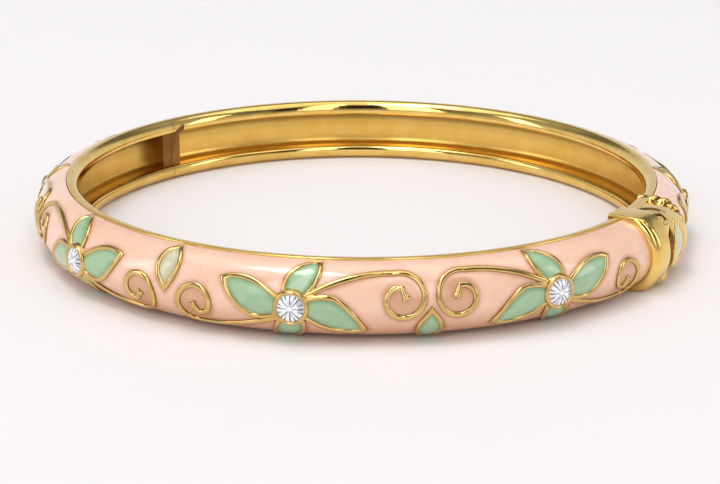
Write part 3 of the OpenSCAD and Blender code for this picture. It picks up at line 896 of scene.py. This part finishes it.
def cut_stone(angle):
    """A round foiled stone: a flat table in wedges and two rings of facets, with dark spokes between them;
    its reflections are painted as facet tones
    """
    spokes, wedge = np.arange(SPOKES), 360 / SPOKES
    jitter = 3.0 * np.sin(spokes * 2.3)
    rings = []
    for share, height, wide, narrow in CROWN:
        half = np.where(spokes % 2 == 0, wide, narrow)
        turns = np.stack([spokes * wedge + jitter - half, spokes * wedge + jitter + half], -1).ravel()
        rings.append(stone_ring(angle, STONE_R * share, GIRDLE + height, turns))
    even = spokes.repeat(2) * wedge + np.tile([-5.0, 5.0], SPOKES)
    rings += [stone_ring(angle, r, GIRDLE + height, even)
              for r, height in ((STONE_R, 0.06), (STONE_R, 0.0), (0.07, -0.7))]
    points, faces = skin(np.array(rings))
    # Which painted reflection tone each wedge takes in turn, from 0, the white one, to 2, the grey one
    shades = [2, 0, 0, 1, 0, 2, 0, 0, 1, 0, 0, 2, 0, 1, 0, 0]
    inks = []
    for level in range(len(rings) - 1):
        for i in range(2 * SPOKES):
            spoke, between = i // 2, i % 2
            dark = between == 0 and (level == 1 or level == 0 and spoke % 2 == 0)
            shade = shades[(spoke * (3 + 2 * level) + level) % SPOKES] if level < len(CROWN) else 0
            inks.append(len(CRYSTAL_REFLECTIONS) - 1 if dark else shade)
    return points, faces, inks + [0, 0]


def make_stone(number, angle, body):
    made = piece(f"flower_{number}_stone_cut", [cut_stone(angle)], body, CRYSTAL_REFLECTIONS,
                 [f"flower_{number}_stone"])
    made.data.shade_flat()


def flower_petal(index):
    direction, table = PETALS[index]
    return petal_edges(table, direction, np.zeros(2))


def leaf_edges():
    return petal_edges(LEAF, 90, np.array([0, LEAF_FOOT]))


def fishtail(motif, path):
    """The short hook at the end of a spiral, which widens into two prongs"""
    way = path[-1] - path[-4]
    way = turned(way / np.linalg.norm(way), HOOK_TURN)
    hook = np.array([path[-1] + way * d for d in np.linspace(-0.05, 0.72, 6)])
    prongs = [np.array([hook[-1] + turned(way, turn) * d for d in np.linspace(-0.1, 0.32, 4)])
              for turn in (-40, 40)]
    return [bead(motif, hook, np.linspace(1.05, 1.3, 6))] + [bead(motif, prong, 0.85) for prong in prongs]


def junction(motif):
    """The lower strand of a wide scroll, which joins the side petal's outline, and a ball beside the bezel"""
    strand = smooth([(1.5, 1.0), (2.3, 1.02), (3.2, 0.95)], 0.16)
    ball = [(1.5 + 0.04 * i, 0.95) for i in range(3)]
    return [bead(motif, strand, 0.8), bead(motif, ball, 1.15)]


def gold_lines(on_front):
    """All the raised lines of a section"""
    parts = []
    for number, angle, mirror, front, scrolls in FLOWERS:
        if front != on_front:
            continue
        motif = (angle, mirror, 1)
        for index in range(4):
            edges = flower_petal(index)
            path = outline(edges, False)
            path = path[np.linalg.norm(path, axis=1) > 1.35]
            near_tip = np.exp(-(np.linalg.norm(path - edges[0][-1], axis=1) / 0.5)**2)
            parts.append(bead(motif, path, 1 + (0.55 if index in (1, 3) else 0.35) * near_tip))
        for scroll in scrolls:
            path = scroll_path(scroll)
            left = np.concatenate([[0], np.cumsum(np.linalg.norm(np.diff(path, axis=0), axis=1))])
            left = left[-1] - left
            parts.append(bead(motif, path, 1.12 - 0.1 * np.exp(-(left / 0.5)**2)))
            parts += fishtail(motif, path)
        parts += junction(motif)
    for names in (LEAVES, BUDS):
        for name, angle, upright, front in names:
            if front != on_front:
                continue
            edges = leaf_edges()
            path = outline(edges, True)
            thick = np.where(np.arange(len(path)) < len(edges[0]), 1.0, 1.25 if names is LEAVES else 0.9)
            parts.append(bead((angle, 1, upright), path, thick, closed=True))
    return parts


def line_tree(parts):
    """A search tree of the gold lines' points"""
    spots = np.concatenate([p[0][::3] for p in parts])
    tree = kdtree.KDTree(len(spots))
    for i, spot in enumerate(spots):
        tree.insert(spot, i)
    tree.balance()
    return tree


def hollow_painted_shade(points):
    """Painted shade along the hollow's upper corner, under the upper lip"""
    r = np.hypot(points[:, 0], points[:, 1])
    high = 0.75 * np.clip((points[:, 2] - 0.6) / 0.7, 0, 1)
    inside = np.clip((r - 30.4) / 0.5, 0, 1) * (r < DOME_C + BED_R - 0.2) * (np.abs(points[:, 2]) < 2.3)
    return high * inside


def corner_tarnish_and_shade(points):
    """Tarnish and painted shade where the gold lines meet the enamel"""
    height = np.hypot(np.hypot(points[:, 0], points[:, 1]) - DOME_C, points[:, 2]) - DOME_R
    return np.clip(1.2 - height / 0.11, 0, 0.95)


def peach_painted_light(tree, on_front):
    """Deeper colour: painted shade beside the gold and towards the lower rim, and a painted reflection of the
    gold inside the spirals
    """
    def shade(points):
        near = np.array([tree.find(p)[2] for p in points])
        deep = 0.75 * np.clip(1 - near / 0.5, 0, 1)**1.5
        for number, angle, mirror, front, scrolls in FLOWERS:
            if front != on_front:
                continue
            for scroll in scrolls:
                centre = wrapped((angle, mirror, 1), np.array([scroll[3]], float), 0)[0]
                away = np.linalg.norm(points - centre, axis=1)
                deep = np.maximum(deep, 0.6 * np.clip((2.1 - away) / 0.5, 0, 1))
        low = np.clip((-points[:, 2] - 0.2) / 3.2, 0, 1)
        return np.clip(deep + 0.9 * low, 0, 1)
    return shade


def fill_painted_shade(tree):
    """Deeper colour, as painted shade, where a petal or leaf meets its gold line"""
    def shade(points):
        near = np.array([tree.find(p)[2] for p in points])
        return 0.7 * np.clip(1 - near / 0.4, 0, 1)
    return shade


def medallion_outline():
    """The right and the left edge of the pointed oval"""
    top = math.degrees(math.asin(MEDALLION_H / MEDALLION_BOW))
    side = arc((MEDALLION_W - MEDALLION_BOW, 0), MEDALLION_BOW, -top, top, 30)
    return np.array(side), np.array([(-x, y) for x, y in side])


def on_block(flat, height):
    """Points drawn flat from the medallion's middle, laid on the block"""
    around = flat[..., 1] / BLOCK_R
    return on_band(MEDALLION + flat[..., 0] / ALONG, DOME_C + (BLOCK_R + height) * np.cos(around),
                   (BLOCK_R + height) * np.sin(around))


def medallion_line():
    right, left = medallion_outline()
    path = np.concatenate([right, left[-2:0:-1]])
    side = sideways(path, True, 0.5)
    section = [(-1, -0.2), (-0.95, 0.0), (-0.6, 0.08), (0, 0.11), (0.6, 0.08), (0.95, 0.0), (1, -0.2)]
    rows = [on_block(path + side * (share * 0.2), height) for share, height in section]
    return skin(np.stack(rows, 1), looped=True)


def medallion_fill():
    right, left = medallion_outline()
    v = np.linspace(-1, 1, 11)
    share = (v + 1)[None, :, None] / 2
    flat = left[1:-1, None] * (1 - share) + right[1:-1, None] * share
    dome = (1 - v**2)[None] * np.minimum(1, np.linalg.norm(left - right, axis=1)[1:-1, None] / 1.6)
    upper = on_block(flat, -0.06 + 0.08 * dome)
    lower = on_block(flat[:, ::-1][:, ::2], -0.3)
    return skin(np.concatenate([upper, lower], 1))


# The pieces

def build_section(body, front):
    """All the pieces of the front or the rear section"""
    prefix = "front" if front else "rear"
    casting = f"{prefix}_casting"
    if front:
        start, end = SEAM + SEAM_HALF, FRONT_END
        # The end plate at the seam is painted dark as shade
        plugs = [(start, start + PLATE, SHADE_INK), (FRONT_SOLID, end, 0)]
        frame_at, enamel_span = start, (start + END_FRAME, ENAMEL_END)
        pocket = knuckle(-FRONT_KNUCKLE, FRONT_KNUCKLE, POCKET_R)
        collar = [painted_hinge_shade(cut(flange(), [pin_hole(), pocket])),
                  cut(knuckle(FRONT_KNUCKLE, KNUCKLE_END), [pin_hole()]),
                  cut(knuckle(-KNUCKLE_END, -FRONT_KNUCKLE), [pin_hole()])]
    else:
        start, end = RING, SEAM + 360 - SEAM_HALF
        # The end plate at the seam is painted dark as shade
        plugs = [(start, REAR_SOLID, 0), (end - PLATE, end, SHADE_INK)]
        frame_at, enamel_span = end - END_FRAME, (RING, end - END_FRAME)
        pockets = [knuckle(REAR_KNUCKLE, CLEAR, POCKET_R), knuckle(-CLEAR, -REAR_KNUCKLE, POCKET_R)]
        collar = [painted_hinge_shade(cut(block(), [pin_hole(), *pockets])), ring(), medallion_line(),
                  cut(knuckle(-REAR_KNUCKLE, REAR_KNUCKLE), [pin_hole()])]
    piece(f"{prefix}_band", band(start, end, plugs, frame_at), body, [GOLD, SHADE_GOLD, SATIN_GOLD],
          [casting], depth=hollow_painted_shade)
    piece(f"{prefix}_collar", collar, body, [GOLD, SHADE_GOLD], [casting])
    lines = gold_lines(front)
    piece(f"{prefix}_raised_lines", lines, body, [LINE_GOLD], [f"{prefix}_gold_lines"], sharp=60,
          depth=corner_tarnish_and_shade)
    tree = line_tree(lines)
    points, faces = sweep(enamel_section(), stations(*enamel_span, 0.35))
    piece(f"{prefix}_peach_ground", [(seated(points, *ENAMEL_SEAT), faces)], body,
          [PEACH], [f"{prefix}_peach_enamel"], depth=peach_painted_light(tree, front))
    shade = fill_painted_shade(tree)
    flowers = [f for f in FLOWERS if f[3] == front]
    piece(f"{prefix}_bezels", [bezel(f[1]) for f in flowers], body, [LINE_GOLD, SHADE_GOLD], [casting],
          sharp=60, depth=corner_tarnish_and_shade)
    for number, angle, mirror, _, _ in flowers:
        make_stone(number, angle, body)
        for index in range(4):
            motif = (angle, mirror, 1)
            node = f"flower_{number}_petal_{index + 1}"
            piece(f"{node}_fill", [fill(motif, flower_petal(index))], body, [MINT], [node],
                  sharp=60, depth=shade)
    for names, slot, finish in ((LEAVES, "pale_enamel", PALE), (BUDS, "mint_enamel", MINT)):
        for name, angle, upright, on_front in names:
            if on_front == front:
                leaf = fill((angle, 1, upright), leaf_edges())
                piece(f"{name}_fill", [leaf], body, [finish], [name], sharp=60, depth=shade)


build_section("root", True)
build_section("rear_section", False)
piece("medallion_fill", [medallion_fill()], "rear_section", [PALE], ["medallion_enamel"],
      depth=lambda p: np.zeros(len(p)))
for name in ("hinge_pin", "clasp_tongue"):
    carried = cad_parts[name]
    carried.data.materials.clear()
    carried.data.materials.append(GOLD)


# Floor, light and camera

def stage():
    """A wide round floor just under the bangle"""
    low, high = -HALF_H - 5, -HALF_H - 0.01
    a = np.radians(np.linspace(0, 360, 96, endpoint=False))
    rows = [np.stack([r * np.cos(a), r * np.sin(a), np.full_like(a, z)], -1)
            for r, z in ((0.01, low), (3000, low), (3000, high), (0.01, high))]
    points, faces = skin(np.array(rows))
    floor = bpy.data.objects.new("floor", mesh_of("floor", points, faces))
    floor.data.materials.append(FLOOR)
    bpy.context.scene.collection.objects.link(floor)


def softbox(name, place, size, watts):
    """A soft lamp that faces the bangle"""
    lamp = bpy.data.lights.new(name, "AREA")
    lamp.shape, lamp.size, lamp.size_y = "RECTANGLE", size[0] * MM, size[1] * MM
    lamp.energy = watts
    made = bpy.data.objects.new(name, lamp)
    bpy.context.scene.collection.objects.link(made)
    made.location = [x * MM for x in place]
    made.rotation_euler = (Vector() - Vector(place)).to_track_quat("-Z", "Y").to_euler()
    made.visible_camera = False


# How much brighter than the tent the upright panels are
PANEL_GLOW = 2.9


def studio():
    """A pale tent with a dark card behind the camera, two bright upright panels, and soft lamps above"""
    world = bpy.data.worlds.new("studio")
    bpy.context.scene.world = world
    sky = Mixture(world)
    way = sky.node("ShaderNodeTexCoord", out="Generated")
    x, y, z = (sky.node("ShaderNodeSeparateXYZ", None, {0: way}, i) for i in range(3))
    level = sky.ramp(z, [(0.0, 0.85), (0.3, 0.72), (0.5, 0.45), (0.75, 0.4), (1.0, 0.6)])
    # A turn of 0.5 is straight behind the camera, and 0.25 and 0.75 are square to the left and right
    turn = x.math("ARCTAN2", x, y * -1.0) * (0.5 / math.pi) + 0.5
    card = sky.ramp(turn, [(0.28, 0.0), (0.38, 0.6), (0.396, 0.6), (0.402, 1.0), (0.612, 1.0), (0.62, 0.6),
                           (0.66, 0.6), (0.74, 0.0)])
    gap = card * sky.ramp(z, [(0.0, 0.3), (0.25, 0.5), (0.5, 0.97), (0.95, 0.97), (1.0, 0.5)])
    back = sky.ramp(turn, [(0.14, 1.0), (0.24, 0.0), (0.76, 0.0), (0.86, 1.0)])
    gap = gap + back * sky.ramp(z, [(0.4, 0.0), (0.48, 0.6), (0.6, 0.6), (0.7, 0.0)])
    upright = sky.ramp(z, [(0.08, 0.0), (0.48, 1.0), (0.93, 1.0), (0.97, 0.0)])
    panels = sky.ramp(turn, [(0.394, 0.0), (0.400, 1.0), (0.464, 1.0), (0.468, 0.0),
                             (0.534, 0.0), (0.538, 1.0), (0.576, 1.0), (0.582, 0.0)]) * upright
    glow = level * (1.0 - gap) + PANEL_GLOW * panels
    sky.finish(sky.node("ShaderNodeBackground", None, {"Color": (0.97, 0.98, 1.0), "Strength": glow}),
               "ShaderNodeOutputWorld")
    softbox("top_softbox", (0, 0, 900), (1200, 900), 3.0)
    softbox("small_softbox", (-150, -70, 700), (270, 170), 1.0)
    softbox("left_softbox", (-620, -120, 300), (160, 420), 0.5)
    softbox("right_softbox", (640, -160, 300), (160, 420), 0.5)


# The photo's camera, fitted to the band's curves: the picture's width, the focal length and the shift in
# pixels, the sensor's width, how steeply the camera looks down, how it is rolled, and how far away it is
PICTURE_W = 720
FOCUS = 1765
SHIFT = (-1.4, -42.55)
SENSOR_W = 36
FALL = math.radians(16.6)
ROLL = math.radians(0.23)
AWAY = 191.2 * MM


def camera():
    lens = bpy.data.cameras.new("camera")
    lens.sensor_fit, lens.sensor_width, lens.lens = "HORIZONTAL", SENSOR_W, FOCUS / PICTURE_W * SENSOR_W
    lens.shift_x, lens.shift_y = SHIFT[0] / PICTURE_W, SHIFT[1] / PICTURE_W
    lens.clip_start, lens.clip_end = 0.005, 20
    made = bpy.data.objects.new("camera", lens)
    bpy.context.scene.collection.objects.link(made)
    made.location = (0, -AWAY * math.cos(FALL), AWAY * math.sin(FALL))
    made.rotation_mode = "ZYX"
    made.rotation_euler = (math.radians(90) - FALL, 0, ROLL)
    bpy.context.scene.camera = made


stage()
studio()
camera()
view = bpy.context.scene.view_settings
view.view_transform, view.look, view.exposure, view.gamma = "Standard", "None", 0.0, 1.0
